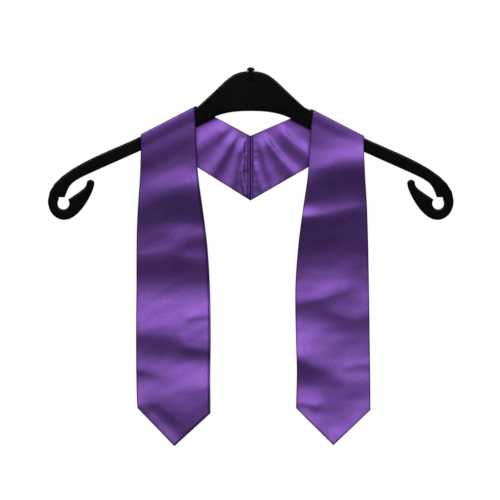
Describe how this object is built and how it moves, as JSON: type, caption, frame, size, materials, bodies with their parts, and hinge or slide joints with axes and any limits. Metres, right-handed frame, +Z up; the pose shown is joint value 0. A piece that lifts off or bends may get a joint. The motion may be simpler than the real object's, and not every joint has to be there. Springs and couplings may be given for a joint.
{
  "type": "graduation stole on a hanger",
  "caption": "Satin graduation stole with a V neck, centre-back seam and pointed ends, hung over a flat moulded hanger with curled ends and a round-headed hook peg.",
  "frame": {"origin": "top of the round-headed peg that the hanger hangs by", "axes": "+Z up, X across the hanger, the front of the stole faces -Y"},
  "size_m": [0.432, 0.0138, 0.4022],
  "materials": {
    "face_satin": "purple satin with a soft sheen",
    "lining_satin": "purple satin with a soft sheen",
    "hanger_plastic": "black moulded plastic, half gloss"
  },
  "bodies": {
    "root": {"hanger": "hanger_plastic", "hook_peg": "hanger_plastic", "stole_left_face": "face_satin", "stole_left_lining": "lining_satin", "stole_right_face": "face_satin", "stole_right_lining": "lining_satin"}
  },
  "joints": []
}
